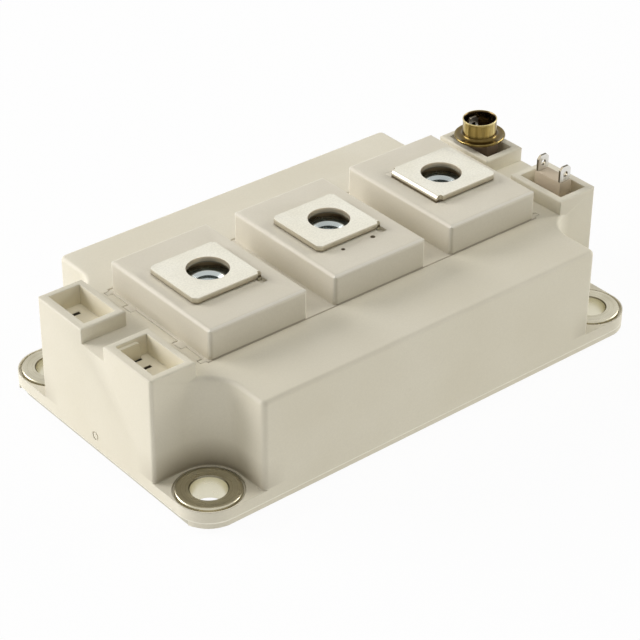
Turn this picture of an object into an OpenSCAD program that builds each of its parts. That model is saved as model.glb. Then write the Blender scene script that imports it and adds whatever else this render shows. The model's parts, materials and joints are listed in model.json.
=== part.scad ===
/* [Body] */
// Overall length of the moulded body along X
body_length = 106.4; // [106:0.2:110]
// Overall width of the moulded body along Y
body_width = 61.4; // [61:0.2:65]
// Height of the long side shelves above the mounting plane
shelf_height = 23; // [22:0.5:25]
// Gap between the mounting plane and the lower rim of the moulding
rim_lift = 1; // [0.6:0.1:1.4]
// Wall thickness of the moulding
wall = 1.7; // [1.4:0.1:2]
// Thickness of the shelf skin
shelf_skin = 2.6; // [2.2:0.1:3]

/* [Mounting] */
// Rim of the moulding outside each bushing, which sets the hole spacing
ear_rim = 0.7; // [0.6:0.05:0.8]
// Clear bore of each mounting bushing
mount_bore = 6.5; // [6.4:0.1:7]
// Outside diameter of the bushing flange
bushing_diameter = 12; // [11.4:0.1:12.4]
// Height of the bushing face above the mounting plane
bushing_top = 4.7; // [4.5:0.1:5.2]
// Height of the corner ears
ear_top = 4.4; // [4.2:0.1:4.6]

/* [Base plate] */
// Thickness of the metal base plate
base_thick = 3; // [2.6:0.1:3.2]
// Margin of the moulding around the base plate
base_margin = 1.2; // [1:0.1:1.6]

/* [Terminal blocks] */
// Distance from the outer screw terminals to the ends of the body
terminal_inset = 25.2; // [25:0.1:25.6]
// Height of the terminal faces
terminal_height = 30.5; // [30:0.1:32]
// Length of one terminal block along X
block_length = 21.8; // [21:0.1:22.4]
// Depth of one terminal block along Y
block_depth = 29.8; // [29:0.2:30.6]
// Gap between a terminal plate and its block
plate_gap = 0.2; // [0.1:0.05:0.3]

/* [Terminals] */
// Thickness of the terminal strip
strip_thick = 1.2; // [1:0.1:1.4]
// Width of the terminal plate along Y
plate_width = 14; // [13:0.5:15]
// Hole in the terminal plate
plate_hole = 7.9; // [7:0.1:8.4]
// Distance from hole centre to free edge
free_reach = 8.1; // [7.6:0.1:8.6]
// Distance from hole centre to the outside of the bend
bend_reach = 7; // [6.8:0.1:7.4]
// Radius of the relief on each side of the bend
bend_relief = 0.6; // [0.4:0.1:0.8]

/* [Nuts] */
// Width across flats of the terminal nut
nut_flats = 10; // [9.8:0.1:10]
// Height of the terminal nut
nut_height = 5; // [4.6:0.1:5.2]
// Bore of the terminal nut
nut_bore = 5; // [4.9:0.1:5.2]
// Gap between the terminal nut and the plate above it
nut_drop = 1.3; // [1:0.1:1.5]

/* [Signal sockets] */
// Length of each connector tower along X
tower_length = 9.6; // [9.2:0.1:10]
// Height of the tab posts above the tower rims
post_rise = 1.4; // [1.2:0.1:1.6]
// Half width of the notch between two towers
notch_half = 3.35; // [3:0.05:3.6]
// Wall at each end of a socket
socket_end = 1.4; // [1.2:0.1:1.6]
// Width of the socket opening along X
socket_width = 6.5; // [6.2:0.1:6.8]
// Depth of the socket below the tower rim
socket_depth = 4; // [3.4:0.1:4.4]

/* [Signal tabs] */
// Width of a tab blade
tab_width = 2.8; // [2.6:0.1:2.8]
// Thickness of a tab
tab_thick = 0.5; // [0.4:0.05:0.6]
// Height of the tab tips above the terminal faces
tab_over = 0.1; // [0:0.05:0.2]
// Length of the blades above their post
tab_rise = 3.2; // [3:0.1:3.4]
// Spacing of the free tab pair
tab_pitch = 6; // [5.6:0.1:6.2]
// Spacing of the tab pair under the sleeve
shorted_pitch = 5; // [4.6:0.1:5]

/* [Shorting sleeve] */
// Clearance between the sleeve's bore and the corners of its tabs
sleeve_fit = 0.015; // [0.01:0.005:0.05]
// Wall thickness of the sleeve tube
sleeve_wall = 0.3; // [0.25:0.05:0.4]
// Width of the flange outside the tube
sleeve_lip = 1.75; // [1.6:0.05:1.9]
// Height of the sleeve tube above its seat
sleeve_height = 4.1; // [3.8:0.1:4.4]

/* [Power stage] */
// Distance from the substrates to the end walls
substrate_end = 2.5; // [2:0.5:4]
// Distance from the substrates to the side walls
substrate_side = 5; // [4:0.5:6]
// Gap between the two substrates
substrate_gap = 3; // [2.5:0.5:4]
// Side of a switch chip
switch_side = 9; // [8.5:0.5:10]
// Side of a diode chip
diode_side = 6; // [5.5:0.5:7]
// Distance from the switch chips to the ends of their track
row_end = 3; // [2.5:0.5:3.5]
// Diameter of a bond wire
wire_diameter = 0.4; // [0.3:0.1:0.5]
// Level of the silicone fill
gel_level = 10.6; // [10.4:0.1:11]

/* [Hidden] */
$fn = 96;

half_x = body_length / 2;
half_y = body_width / 2;
ear_radius = bushing_diameter / 2 + ear_rim;
hole_x = half_x - ear_radius;
hole_y = half_y - ear_radius;
recess_radius = bushing_diameter / 2 + 0.8;
wall_x = hole_x - recess_radius;
wall_y = hole_y - recess_radius;
side_corner = 1.2;
end_corner = 0.8;
shelf_round = 0.9;
tower_round = 0.4;
block_round = 0.9;
end_relief = 1;
relief_inset = 4.4;
seat_z = base_thick + 0.7;
seat_radius = bushing_diameter / 2 + 0.45;
bushing_stem = mount_bore / 2 + 1.25;
stem_fit = 0.1;

skin_z = shelf_height - shelf_skin;
ledge = 1.2;
ledge_z = shelf_height - 1.4;
lid_x = 2 * (wall_x - 0.3);
lid_y = block_depth + 0.3;
lid_gap = 0.1;
ledge_gap = 0.02;
snap_reach = 1.2;
snap_drop = 0.9;
snap_wide = 2.4;
snap_wide_in = 7.55;
snap_narrow = 1;
snap_narrow_in = 1.05;
snaps = [for (j = [-1, 1]) each [
    [j * (lid_y / 2 - snap_wide_in), snap_wide],
    [j * (lid_y / 2 - snap_narrow_in), snap_narrow]]];

terminal_x = [terminal_inset - half_x, 0, half_x - terminal_inset];
bend_side = [1, 1, -1];
bend_radius = strip_thick + 0.4;
leg_width = plate_width - 2 * bend_relief;
plate_z = terminal_height - strip_thick;
block_top = plate_z - plate_gap;
block_wall = 1.6;
slot_half = plate_width / 2 + 1.1;
slot_clear = 0.1;
nut_clear = 0.15;
nut_z = plate_z - nut_drop - nut_height;
nut_floor = 1.4;
boss_wall = 1.6;
screw_clear = 6.8;

tab_tip = terminal_height + tab_over;
post_top = tab_tip - tab_rise;
tower_height = post_top - post_rise;
tower_x = half_x - tower_length;
tower_depth = wall_y - notch_half;
tower_mid_x = half_x - 1.7 - socket_width / 2;
tower_mid_y = (notch_half + wall_y) / 2;
socket_length = tower_depth - 2 * socket_end;
socket_floor = tower_height - socket_depth;
socket_skin = 1.6;
floor_z = min(skin_z, socket_floor - socket_skin);
slot_x = 2.9;
slot_y = 0.8;
post_x = 3;
post_y = tab_pitch + 1;
post_fit = 0.05;
holder_x = 5.2;
holder_y = 2 * (wall_y - wall - tower_mid_y - 0.325);
holder_drop = 2;
stem_width = 2;
tab_slot_fit = 0.03;
arm_z = 12;
arm_height = 2;
sleeve_bore = 2 * (norm([tab_width, shorted_pitch + tab_thick]) / 2 + sleeve_fit);
sleeve_tube = sleeve_bore + 2 * sleeve_wall;
sleeve_flange = sleeve_tube + 2 * sleeve_lip;

backing_z = base_thick + 0.4;
ceramic_z = backing_z + 0.7;
track_z = ceramic_z + 0.4;
chip_z = track_z + 0.35;
substrate_x = wall_x - wall - substrate_end - substrate_gap / 2;
substrate_y = body_width - 2 * (wall + substrate_side);
substrate_mid = (substrate_x + substrate_gap) / 2;
copper_margin = 1;
pad_x = substrate_x / 2 - copper_margin;
pad_y = substrate_y / 2 - copper_margin;
gate_track = 2.5;
emitter_track = 5;
track_gap = 1;
strip_g = [-pad_x, gate_track - pad_x];
strip_e = [strip_g[1] + track_gap, strip_g[1] + track_gap + emitter_track];
pad_a = [strip_e[1] + track_gap, pad_x];
chip_margin = 0.5;
chip_gap = 1;
switch_mid = pad_a[0] + chip_margin + switch_side / 2;
diode_mid = switch_mid + (switch_side + diode_side) / 2 + chip_gap;
row_offset = pad_y - row_end - switch_side / 2;

foot_length = 5.2;
foot_half = 5;
foot_1 = 1;
foot_2 = -0.5;
leg_split = 16;
arm2_z = 9;
drop_2 = (strip_e[0] + strip_e[1]) / 2 - substrate_mid;
drop_foot = 1.8;
link_y = [1, 6];
link_thick = 0.8;
link_rise = 2;
link_foot = 3;
link_x = [pad_a[1] - substrate_mid - 0.5 - link_foot,
    substrate_mid + strip_e[0] + 0.5 + link_foot];
gel_fit = 0.05;

wire_pitch = 2.3;
wire_shift = 0.3;
wire_edge = 0.9;
wire_reach = 2;
switch_wires = [for (k = [-1 : 1]) k * wire_pitch - wire_shift];
gate_wire = switch_side / 2 - wire_edge;
gate_x = (strip_g[0] + strip_g[1]) / 2;
emitter_x = strip_e[1] - 1.4;
arch_e = [strip_e[1] - wire_reach, switch_mid - wire_reach];
arch_d = [switch_mid + wire_reach, diode_mid];
arch_g = [gate_x, switch_mid - switch_side / 2 + wire_edge];
tab_foot = 0.8;
tab_sites = [
    [-tower_mid_y - tab_pitch / 2, substrate_mid + gate_x],
    [-tower_mid_y + tab_pitch / 2, substrate_mid + emitter_x],
    [tower_mid_y - shorted_pitch / 2, emitter_x - substrate_mid],
    [tower_mid_y + shorted_pitch / 2, gate_x - substrate_mid]];

function side(i) = i < 2 ? -1 : 1;
function across(i) = i % 2 == 0 ? -1 : 1;

module slab(x, y, z0, z1) {
    translate([-x / 2, -y / 2, z0])
    cube([x, y, z1 - z0]);
}

module span(x0, x1, y0, y1, z0, z1) {
    translate([x0, y0, z0])
    cube([x1 - x0, y1 - y0, z1 - z0]);
}

module round_rect(x, y, r) {
    square([x - 2 * r, y], center = true);
    square([x, y - 2 * r], center = true);
    for (i = [-1, 1], j = [-1, 1])
        translate([i * (x / 2 - r), j * (y / 2 - r)])
        circle(r = r);
}

module round_slab(x, y, r, z0, z1) {
    translate([0, 0, z0])
    linear_extrude(z1 - z0)
    round_rect(x, y, r);
}

module at_holes() {
    for (i = [-1, 1], j = [-1, 1])
        translate([i * hole_x, j * hole_y, 0])
        children();
}

module at_towers() {
    for (i = [-1, 1], j = [-1, 1])
        translate([i * tower_mid_x, j * tower_mid_y, 0])
        children();
}

module profile_xz(depth) {
    rotate([90, 0, 0])
    linear_extrude(depth, center = true)
    children();
}

module arched_side(w, r, z0, z1) {
    translate([-w / 2, z0])
    square([w, z1 - r - z0]);
    translate([r - w / 2, z0])
    square([w - 2 * r, z1 - z0]);
    for (i = [-1, 1])
        translate([i * (w / 2 - r), z1 - r])
        circle(r = r);
}

module rounded_top(x, y, r, z0, z1) {
    intersection() {
        translate([0, 0, z0])
        linear_extrude(z1 - z0)
        children();
        profile_xz(y)
        arched_side(x, r, z0, z1);
        rotate([0, 0, 90])
        profile_xz(x)
        arched_side(y, r, z0, z1);
    }
}

module base_plate() {
    color([0.78, 0.77, 0.74])
    difference() {
        round_slab(body_length - 2 * base_margin, body_width - 2 * base_margin,
            ear_radius - base_margin, 0, base_thick);
        at_holes()
        translate([0, 0, -1])
        cylinder(h = base_thick + 2, d = mount_bore);
    }
}

module edge_cut() {
    r = shelf_round;
    difference() {
        translate([-0.1, -r])
        square([r + 0.1, r + 0.1]);
        translate([r, -r])
        circle(r = r);
    }
}

module shelf_edges() {
    corner_x = wall_x - side_corner;
    corner_y = half_y - side_corner;
    translate([0, half_y, shelf_height])
    rotate([90, 0, 90])
    linear_extrude(corner_x)
    scale([-1, 1])
    edge_cut();
    translate([wall_x, corner_y, shelf_height])
    rotate([90, 0, 0])
    linear_extrude(corner_y - hole_y)
    scale([-1, 1])
    edge_cut();
    translate([corner_x, corner_y, shelf_height])
    rotate_extrude(angle = 90)
    translate([side_corner, 0])
    scale([-1, 1])
    edge_cut();
    translate([hole_x, hole_y, shelf_height])
    rotate([0, 0, 180])
    rotate_extrude(angle = 90)
    translate([recess_radius, 0])
    edge_cut();
}

module shelf_body() {
    difference() {
        translate([0, 0, rim_lift + 1])
        linear_extrude(shelf_height - rim_lift - 1) {
            round_rect(2 * wall_x, body_width, side_corner);
            for (i = [-1, 1], j = [-1, 1])
                scale([i, j])
                difference() {
                    translate([wall_x - 1, wall_y - 1])
                    square(recess_radius + 1);
                    translate([hole_x, hole_y])
                    circle(r = recess_radius);
                }
        }
        for (i = [-1, 1], j = [-1, 1])
            scale([i, j, 1])
            shelf_edges();
    }
}

module lid_plan(grow) {
    square([lid_x + 2 * grow, lid_y + 2 * grow], center = true);
    for (i = [-1, 1])
        for (s = snaps)
            translate([i * lid_x / 2, s[0]])
            square([2 * snap_reach + 2 * grow, s[1] + 2 * grow], center = true);
}

module tower_plan() {
    square([tower_length - end_corner, tower_depth]);
    square([tower_length, tower_depth - end_corner]);
    translate([tower_length - end_corner, tower_depth - end_corner])
    circle(r = end_corner);
}

module tower_block() {
    translate([tower_length / 2, tower_depth / 2, 0])
    rounded_top(tower_length, tower_depth, tower_round, skin_z, tower_height)
    translate([-tower_length / 2, -tower_depth / 2])
    tower_plan();
}

module housing_outside() {
    shelf_body();
    translate([0, 0, rim_lift + 1])
    linear_extrude(shelf_height - rim_lift - 1)
    round_rect(body_length, 2 * wall_y, end_corner);
    round_slab(body_length, body_width, ear_radius, rim_lift, ear_top);
    for (i = [-1, 1], j = [-1, 1])
        scale([i, j, 1])
        translate([tower_x, notch_half, 0])
        tower_block();
}

module housing_inside() {
    slab(2 * (wall_x - wall), body_width - 2 * wall, base_thick - 0.5, skin_z);
    slab(body_length - 2 * wall, 2 * (wall_y - wall), base_thick - 0.5, floor_z);
    round_slab(body_length - 2 * base_margin, body_width - 2 * base_margin,
        ear_radius - base_margin, rim_lift - 1, base_thick);
}

module key_panel() {
    panel_z = tower_height - 0.7;
    panel_x = 4.8;
    translate([-tower_mid_x - socket_width / 2, -tower_mid_y + socket_length / 2, 0])
    rotate([90, 0, 0])
    linear_extrude(0.6) {
        translate([-0.5, socket_floor - 0.5])
        square([panel_x + 0.5, panel_z - socket_floor - 0.5]);
        translate([-0.5, panel_z - 2])
        square([panel_x - 0.5, 2]);
        translate([panel_x - 1, panel_z - 1])
        circle(r = 1);
    }
}

module mould_mark() {
    translate([-half_x, 0.6, 4.8])
    rotate([0, 90, 0])
    difference() {
        cylinder(h = 0.3, r = 0.9, center = true);
        cylinder(h = 0.5, r = 0.6, center = true);
    }
}

module end_reliefs() {
    depth = base_margin + 1;
    for (i = [-1, 1])
        translate([i * (half_x - base_margin + depth / 2), 0, 0])
        slab(depth, 2 * (half_y - relief_inset), rim_lift - 1, rim_lift + end_relief);
}

module bushing_seats() {
    at_holes() {
        translate([0, 0, seat_z])
        cylinder(h = ear_top, r = seat_radius);
        translate([0, 0, base_thick - 0.5])
        cylinder(h = 4, r = bushing_stem + stem_fit);
    }
}

module post_holes() {
    for (j = [-1, 1])
        translate([tower_mid_x, j * tower_mid_y, 0])
        slab(post_x + 2 * post_fit, post_y + 2 * post_fit, floor_z - 1, socket_floor + 1);
}

module plug_slots() {
    first = socket_length / 2 - slot_y;
    for (y = [tower_mid_y + first - 1.6, first - tower_mid_y, first - tower_mid_y - 2.85])
        translate([-tower_mid_x, y, 0])
        slab(slot_x, slot_y, floor_z - 1, socket_floor + 1);
}

module housing() {
    color([0.86, 0.83, 0.74])
    union() {
        difference() {
            housing_outside();
            housing_inside();
            bushing_seats();
            end_reliefs();
            translate([0, 0, ledge_z])
            linear_extrude(tower_height)
            lid_plan(lid_gap);
            slab(lid_x - 2 * ledge, lid_y - 2 * ledge, floor_z - 1, tower_height);
            at_towers()
            slab(socket_width, socket_length, socket_floor, tower_height + 1);
            post_holes();
            plug_slots();
            mould_mark();
        }
        key_panel();
    }
}

module nut_pocket(grow, z0, z1) {
    translate([0, 0, z0])
    rotate([0, 0, 30])
    cylinder(h = z1 - z0, d = (nut_flats + 2 * grow) / cos(30), $fn = 6);
}

module nut_boss(s) {
    near = bend_reach - strip_thick - slot_clear - 0.05;
    far = nut_flats / 2 + nut_clear + boss_wall;
    side = (nut_flats / 2 + nut_clear) / cos(30) + boss_wall;
    span(s > 0 ? -far : -near, s > 0 ? near : far, -side, side,
        nut_z - nut_floor, block_top - block_wall / 2);
}

module block_shell() {
    difference() {
        rounded_top(block_length, block_depth, block_round, ledge_z, block_top)
        round_rect(block_length, block_depth, block_round);
        slab(block_length - 2 * block_wall, block_depth - 2 * block_wall,
            ledge_z - 1, block_top - block_wall);
    }
}

module terminal_block(s) {
    slot_in = bend_reach - strip_thick - slot_clear;
    slot_out = bend_reach + slot_clear;
    difference() {
        union() {
            block_shell();
            nut_boss(s);
        }
        nut_pocket(nut_clear, nut_z, block_top + 1);
        translate([0, 0, nut_z - nut_floor - 1])
        cylinder(h = nut_floor + 2, d = screw_clear);
        span(s > 0 ? slot_in : -slot_out, s > 0 ? slot_out : -slot_in,
            -slot_half, slot_half, leg_split, block_top + 1);
    }
}

module lid() {
    dimples = [[3.5, 0.45], [-3.6, 0.35]];
    dimple_y = -8.4;
    color([0.84, 0.81, 0.73])
    difference() {
        union() {
            difference() {
                translate([0, 0, ledge_z + ledge_gap])
                linear_extrude(shelf_height - ledge_z - ledge_gap)
                lid_plan(0);
                for (i = [-1, 1], s = snaps)
                    translate([i * (lid_x / 2 + snap_reach), s[0], 0])
                    slab(2 * snap_reach, s[1] + 1, ledge_z - 1, shelf_height - snap_drop);
                for (c = terminal_x)
                    translate([c, 0, 0])
                    slab(block_length - 1, block_depth - 1, ledge_z - 1, shelf_height + 1);
            }
            for (i = [0 : 2])
                translate([terminal_x[i], 0, ledge_gap])
                terminal_block(bend_side[i]);
        }
        for (p = dimples)
            translate([p[0], dimple_y, block_top - 0.4])
            cylinder(h = 1, r = p[1]);
    }
}

module strip_top(i, low, high, bottom) {
    c = terminal_x[i];
    s = bend_side[i];
    flat_end = bend_reach - bend_radius;
    z0 = plate_z;
    bend_z = terminal_height - bend_radius;
    cut = 1.3;
    tongue = 1;
    translate([c, 0, 0])
    scale([s, 1, 1]) {
        difference() {
            translate([0, 0, z0])
            linear_extrude(strip_thick)
            polygon([[-free_reach + cut, -plate_width / 2], [flat_end, -plate_width / 2],
                [flat_end, plate_width / 2], [-free_reach + cut, plate_width / 2],
                [-free_reach, plate_width / 2 - cut], [-free_reach, cut - plate_width / 2]]);
            translate([0, 0, z0 - 1])
            cylinder(h = 4, d = plate_hole);
            for (j = [-1, 1])
                translate([flat_end, j * plate_width / 2, z0 - 1])
                cylinder(h = 4, r = bend_relief);
        }
        profile_xz(leg_width) {
            translate([flat_end - tongue, z0])
            square([tongue, strip_thick]);
            translate([flat_end, bend_z])
            intersection() {
                difference() {
                    circle(r = bend_radius);
                    circle(r = bend_radius - strip_thick);
                }
                square(bend_radius + 1);
            }
            translate([bend_reach - strip_thick, leg_split])
            square([strip_thick, bend_z - leg_split]);
        }
        span(bend_reach - strip_thick, bend_reach, low, high, bottom, leg_split + 0.1);
    }
}

module main_terminal_1() {
    x0 = terminal_x[0] + bend_reach - strip_thick;
    color([0.85, 0.84, 0.81])
    union() {
        strip_top(0, foot_1, foot_half, track_z);
        span(x0, x0 + foot_length, foot_1, foot_half, track_z, track_z + strip_thick);
    }
}

module main_terminal_2() {
    x1 = terminal_x[1] + bend_reach;
    y0 = -foot_half;
    color([0.85, 0.84, 0.81])
    union() {
        strip_top(1, y0, foot_2, arm2_z);
        span(drop_2, x1, y0, foot_2, arm2_z, arm2_z + strip_thick);
        span(drop_2, drop_2 + strip_thick, y0, foot_2, track_z, arm2_z + 0.1);
        span(drop_2 - drop_foot, drop_2 + drop_foot, y0, foot_2,
            track_z, track_z + strip_thick);
    }
}

module main_terminal_3() {
    x0 = terminal_x[2] - bend_reach;
    color([0.85, 0.84, 0.81])
    union() {
        strip_top(2, -foot_half, foot_half, track_z);
        span(x0, x0 + foot_length, -foot_half, foot_half, track_z, track_z + strip_thick);
    }
}

module terminal_nut(i) {
    r = nut_flats / 2;
    color([0.72, 0.74, 0.76])
    translate([terminal_x[i], 0, nut_z + ledge_gap])
    difference() {
        intersection() {
            nut_pocket(0, 0, nut_height);
            rotate_extrude()
            polygon([[0, 0], [r - 0.1, 0], [r + 0.9, 0.5], [r + 0.9, nut_height - 0.5],
                [r - 0.1, nut_height], [0, nut_height]]);
        }
        translate([0, 0, -1])
        cylinder(h = nut_height + 2, d = nut_bore);
        translate([0, 0, nut_height - 0.9])
        cylinder(h = 1, r1 = nut_bore / 2, r2 = nut_bore / 2 + 1);
    }
}

module terminal_nut_1() { terminal_nut(0); }
module terminal_nut_2() { terminal_nut(1); }
module terminal_nut_3() { terminal_nut(2); }

module mounting_bushing(i) {
    ri = mount_bore / 2;
    ro = bushing_diameter / 2;
    color([0.66, 0.64, 0.6])
    translate([side(i) * hole_x, across(i) * hole_y, 0])
    rotate_extrude()
    polygon([[ri, base_thick], [bushing_stem, base_thick], [bushing_stem, seat_z],
        [ro, seat_z], [ro, bushing_top - 0.25], [ro - 0.25, bushing_top],
        [ri + 0.45, bushing_top], [ri, bushing_top - 0.45]]);
}

module mounting_bushing_1() { mounting_bushing(0); }
module mounting_bushing_2() { mounting_bushing(1); }
module mounting_bushing_3() { mounting_bushing(2); }
module mounting_bushing_4() { mounting_bushing(3); }

module tab(site) {
    b = tab_width / 2;
    w = stem_width / 2;
    m = tower_mid_x;
    y = site[0];
    x0 = site[1] - tab_foot;
    x1 = site[1] + tab_foot;
    bevel = 0.7;
    color([0.87, 0.86, 0.83])
    difference() {
        translate([0, y, 0])
        profile_xz(tab_thick)
        polygon([[m - w, post_top], [m - b, post_top], [m - b, tab_tip - bevel],
            [m - b + bevel, tab_tip], [m + b - bevel, tab_tip], [m + b, tab_tip - bevel],
            [m + b, post_top], [m + w, post_top], [m + w, arm_z], [x1, arm_z],
            [x1, track_z], [x0, track_z], [x0, arm_z + arm_height],
            [m - w, arm_z + arm_height]]);
        translate([m, y, tab_tip - 1.7])
        rotate([90, 0, 0])
        cylinder(h = 2, d = 1.2, center = true);
    }
}

module signal_tab_1() { tab(tab_sites[0]); }
module signal_tab_2() { tab(tab_sites[1]); }
module signal_tab_3() { tab(tab_sites[2]); }
module signal_tab_4() { tab(tab_sites[3]); }

module tab_holder(s, pitch) {
    color([0.8, 0.76, 0.66])
    translate([tower_mid_x, s * tower_mid_y, 0])
    difference() {
        union() {
            slab(post_x, post_y, floor_z - 0.1, post_top);
            slab(holder_x, holder_y, floor_z - holder_drop, floor_z);
        }
        for (j = [-1, 1])
            translate([0, j * pitch / 2, 0])
            slab(stem_width + 2 * tab_slot_fit, tab_thick + 2 * tab_slot_fit,
                floor_z - holder_drop - 1, post_top + 1);
    }
}

module tab_holder_1() { tab_holder(-1, tab_pitch); }
module tab_holder_2() { tab_holder(1, shorted_pitch); }

module shorting_sleeve() {
    ri = sleeve_bore / 2;
    ro = sleeve_tube / 2;
    rf = sleeve_flange / 2;
    f = 0.5;
    t = 0.4;
    h = sleeve_height;
    color([0.76, 0.6, 0.28])
    translate([tower_mid_x, tower_mid_y, post_top])
    rotate_extrude()
    difference() {
        polygon([[ri, 0], [rf, 0], [rf, t], [ro + f, t], [ro + f, t + f],
            [ro, t + f], [ro, h - 0.1], [ro - 0.1, h], [ri, h]]);
        translate([ro + f, t + f])
        circle(r = f);
    }
}

module substrate_backing(s) {
    color([0.74, 0.45, 0.3])
    translate([s * substrate_mid, 0, 0])
    slab(substrate_x - 2, substrate_y - 2, base_thick, backing_z);
}

module substrate_backing_1() { substrate_backing(-1); }
module substrate_backing_2() { substrate_backing(1); }

module substrate_ceramic(s) {
    color([0.93, 0.93, 0.91])
    translate([s * substrate_mid, 0, 0])
    slab(substrate_x, substrate_y, backing_z, ceramic_z);
}

module substrate_ceramic_1() { substrate_ceramic(-1); }
module substrate_ceramic_2() { substrate_ceramic(1); }

module substrate_tracks(s) {
    color([0.78, 0.5, 0.33])
    translate([s * substrate_mid, 0, 0])
    for (t = [strip_g, strip_e, pad_a])
        span(t[0], t[1], -pad_y, pad_y, ceramic_z, track_z);
}

module substrate_tracks_1() { substrate_tracks(-1); }
module substrate_tracks_2() { substrate_tracks(1); }

module chip(i, mid, size, tint) {
    color(tint)
    translate([side(i) * substrate_mid + mid, across(i) * row_offset, 0])
    slab(size, size, track_z, chip_z);
}

module switch_chip(i) { chip(i, switch_mid, switch_side, [0.35, 0.36, 0.4]); }
module diode_chip(i) { chip(i, diode_mid, diode_side, [0.4, 0.41, 0.45]); }
module switch_chip_1() { switch_chip(0); }
module switch_chip_2() { switch_chip(1); }
module switch_chip_3() { switch_chip(2); }
module switch_chip_4() { switch_chip(3); }
module diode_chip_1() { diode_chip(0); }
module diode_chip_2() { diode_chip(1); }
module diode_chip_3() { diode_chip(2); }
module diode_chip_4() { diode_chip(3); }

module arch(x, y, foot) {
    r = (x[1] - x[0]) / 2;
    translate([(x[0] + x[1]) / 2, y, chip_z])
    rotate([90, 0, 0])
    rotate_extrude(angle = 180)
    translate([r, 0])
    circle(d = wire_diameter, $fn = 8);
    if (foot)
        translate([x[0], y, track_z])
        cylinder(h = chip_z - track_z, d = wire_diameter, $fn = 8);
}

module bond_wires(s) {
    color([0.88, 0.88, 0.87])
    translate([s * substrate_mid, 0, 0])
    for (j = [-1, 1])
        translate([0, j * row_offset, 0]) {
            for (y = switch_wires) {
                arch(arch_e, y, true);
                arch(arch_d, y, false);
            }
            arch(arch_g, j * gate_wire, true);
        }
}

module bond_wires_1() { bond_wires(-1); }
module bond_wires_2() { bond_wires(1); }

module link_shape() {
    a = link_x[0];
    b = link_x[1];
    f = link_foot;
    h = link_thick;
    z0 = track_z;
    z1 = track_z + link_rise;
    polygon([[a, z0], [a + f, z0], [a + f, z1], [b - f, z1], [b - f, z0], [b, z0],
        [b, z0 + h], [b - f + h, z0 + h], [b - f + h, z1 + h],
        [a + f - h, z1 + h], [a + f - h, z0 + h], [a, z0 + h]]);
}

module phase_link() {
    color([0.8, 0.52, 0.34])
    translate([0, (link_y[0] + link_y[1]) / 2, 0])
    profile_xz(link_y[1] - link_y[0])
    link_shape();
}

module arch_void(x, y) {
    r = (x[1] - x[0]) / 2 + wire_diameter / 2 + 0.1;
    translate([(x[0] + x[1]) / 2, y, chip_z])
    intersection() {
        rotate([90, 0, 0])
        cylinder(h = wire_diameter + 0.2, r = r, center = true);
        slab(4 * r, 2, -0.4, r + 1);
    }
}

module stage_void(s) {
    translate([s * substrate_mid, 0, 0]) {
        slab(substrate_x, substrate_y, base_thick - 1, ceramic_z);
        for (t = [strip_g, strip_e, pad_a])
            span(t[0], t[1], -pad_y, pad_y, ceramic_z - 0.1, track_z);
        for (j = [-1, 1])
            translate([0, j * row_offset, 0]) {
                translate([switch_mid, 0, 0])
                slab(switch_side, switch_side, track_z - 0.1, chip_z);
                translate([diode_mid, 0, 0])
                slab(diode_side, diode_side, track_z - 0.1, chip_z);
                for (y = switch_wires) {
                    arch_void(arch_e, y);
                    arch_void(arch_d, y);
                }
                arch_void(arch_g, j * gate_wire);
            }
    }
}

module strip_void(x0, x1, y0, y1, z0, z1) {
    span(x0 - gel_fit, x1 + gel_fit, y0 - gel_fit, y1 + gel_fit, z0, z1 + gel_fit);
}

module terminal_void() {
    a = terminal_x[0] + bend_reach - strip_thick;
    b = terminal_x[1] + bend_reach;
    c = terminal_x[2] - bend_reach;
    d = drop_2;
    w = foot_half;
    t = track_z;
    h = strip_thick;
    strip_void(a, a + h, foot_1, w, t, gel_level);
    strip_void(a, a + foot_length, foot_1, w, t, t + h);
    strip_void(c, c + h, -w, w, t, gel_level);
    strip_void(c, c + foot_length, -w, w, t, t + h);
    strip_void(d, b, -w, foot_2, arm2_z - gel_fit, gel_level);
    strip_void(d, d + h, -w, foot_2, t, gel_level);
    strip_void(d - drop_foot, d + drop_foot, -w, foot_2, t, t + h);
}

module tab_void(site) {
    half = tab_thick / 2;
    strip_void(site[1] - tab_foot, site[1] + tab_foot,
        site[0] - half, site[0] + half, track_z, gel_level);
}

module gel_fill() {
    color([0.8, 0.84, 0.84, 0.5])
    difference() {
        union() {
            slab(2 * (wall_x - wall - gel_fit), body_width - 2 * (wall + gel_fit),
                base_thick, gel_level);
            slab(body_length - 2 * (wall + gel_fit), 2 * (wall_y - wall - gel_fit),
                base_thick, gel_level);
        }
        stage_void(-1);
        stage_void(1);
        terminal_void();
        for (site = tab_sites)
            tab_void(site);
        strip_void(link_x[0], link_x[1], link_y[0], link_y[1],
            track_z, track_z + link_rise + link_thick);
    }
}

base_plate();
housing();
lid();
main_terminal_1();
main_terminal_2();
main_terminal_3();
terminal_nut_1();
terminal_nut_2();
terminal_nut_3();
mounting_bushing_1();
mounting_bushing_2();
mounting_bushing_3();
mounting_bushing_4();
signal_tab_1();
signal_tab_2();
signal_tab_3();
signal_tab_4();
tab_holder_1();
tab_holder_2();
shorting_sleeve();
substrate_backing_1();
substrate_backing_2();
substrate_ceramic_1();
substrate_ceramic_2();
substrate_tracks_1();
substrate_tracks_2();
switch_chip_1();
switch_chip_2();
switch_chip_3();
switch_chip_4();
diode_chip_1();
diode_chip_2();
diode_chip_3();
diode_chip_4();
bond_wires_1();
bond_wires_2();
phase_link();
gel_fill();
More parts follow.
